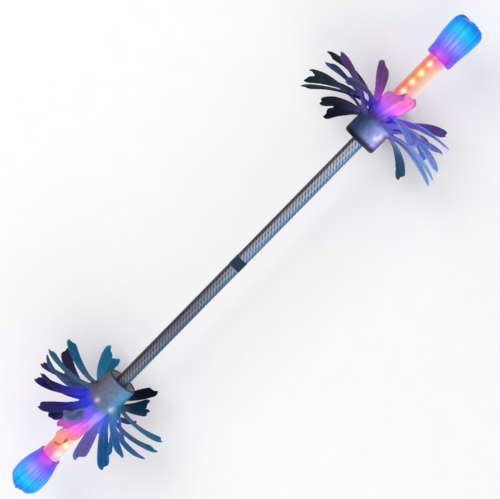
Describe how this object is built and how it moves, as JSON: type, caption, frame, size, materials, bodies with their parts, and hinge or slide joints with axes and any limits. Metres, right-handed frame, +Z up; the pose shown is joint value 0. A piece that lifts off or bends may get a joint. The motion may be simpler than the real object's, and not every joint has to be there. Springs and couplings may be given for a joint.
{
  "type": "devil stick",
  "caption": "Light-up devil stick of the flower-stick type: wrapped shaft, clear lit end tubes, soft petal flowers that slide on them, pull-off pleated caps.",
  "frame": {"origin": "balance point of the stick: on its axis, at the middle of its length", "axes": "+X along the stick to the right end, +Y to the far side, +Z up, with the stick lying level on its two flowers"},
  "size_m": [0.66, 0.1632, 0.1385],
  "materials": {
    "fibreglass": "satin fibreglass",
    "weave": "diagonal twill wrap with a silvery sheen",
    "tape": "smooth dark tape",
    "clear_tube": "clear polycarbonate",
    "black_plastic": "fine matt",
    "white_plastic": "matt",
    "opal_plastic": "opal, light passes through",
    "led_strip": "white flexible strip with LED chips",
    "cell_foil": "foil pouch",
    "board": "white solder mask",
    "wire": "insulated ribbon",
    "seal": "smooth ring",
    "button": "soft touch",
    "steel": "pressed shell",
    "petal_silicone": "satin silicone, blue-violet",
    "cap_silicone": "translucent blue silicone"
  },
  "bodies": {
    "stick": {"core_tube": "fibreglass", "grip_sleeve": "weave", "centre_band": "tape", "right_shaft_coupler": "black_plastic", "right_light_tube": "clear_tube", "right_led_carrier": "white_plastic", "right_led_strip_front": "led_strip", "right_led_strip_back": "led_strip", "right_battery_cell": "cell_foil", "right_control_board": "board", "right_ribbon_lead": "wire", "right_end_plug": "opal_plastic", "right_plug_seal": "seal", "right_switch_board": "board", "right_tact_switch": "black_plastic", "right_charge_socket": "steel", "right_tip_led_1": "led_strip", "right_tip_led_2": "led_strip", "left_shaft_coupler": "black_plastic", "left_light_tube": "clear_tube", "left_led_carrier": "white_plastic", "left_led_strip_front": "led_strip", "left_led_strip_back": "led_strip", "left_battery_cell": "cell_foil", "left_control_board": "board", "left_ribbon_lead": "wire", "left_end_plug": "opal_plastic", "left_plug_seal": "seal", "left_switch_board": "board", "left_tact_switch": "black_plastic", "left_charge_socket": "steel", "left_tip_led_1": "led_strip", "left_tip_led_2": "led_strip"},
    "right_cap": {"right_end_cap": "cap_silicone"},
    "left_cap": {"left_end_cap": "cap_silicone"},
    "right_flower": {"right_flower": "petal_silicone"},
    "left_flower": {"left_flower": "petal_silicone"},
    "right_button": {"right_mode_button": "button"},
    "left_button": {"left_mode_button": "button"}
  },
  "joints": [
    {"name": "right_cap_pull", "type": "slide", "parent": "stick", "child": "right_cap", "axis": [1, 0, 0], "range_m": [0, 0.045]},
    {"name": "left_cap_pull", "type": "slide", "parent": "stick", "child": "left_cap", "axis": [-1, 0, 0], "range_m": [0, 0.045]},
    {"name": "right_flower_slide", "type": "slide", "parent": "stick", "child": "right_flower", "axis": [1, 0, 0], "range_m": [-0.008, 0.02]},
    {"name": "left_flower_slide", "type": "slide", "parent": "stick", "child": "left_flower", "axis": [-1, 0, 0], "range_m": [-0.008, 0.02]},
    {"name": "right_button_press", "type": "slide", "parent": "stick", "child": "right_button", "axis": [-1, 0, 0], "range_m": [0, 0.0005], "stiffness_N_per_m": 800, "springref_m": -0.0005},
    {"name": "left_button_press", "type": "slide", "parent": "stick", "child": "left_button", "axis": [1, 0, 0], "range_m": [0, 0.0005], "stiffness_N_per_m": 800, "springref_m": -0.0005}
  ]
}
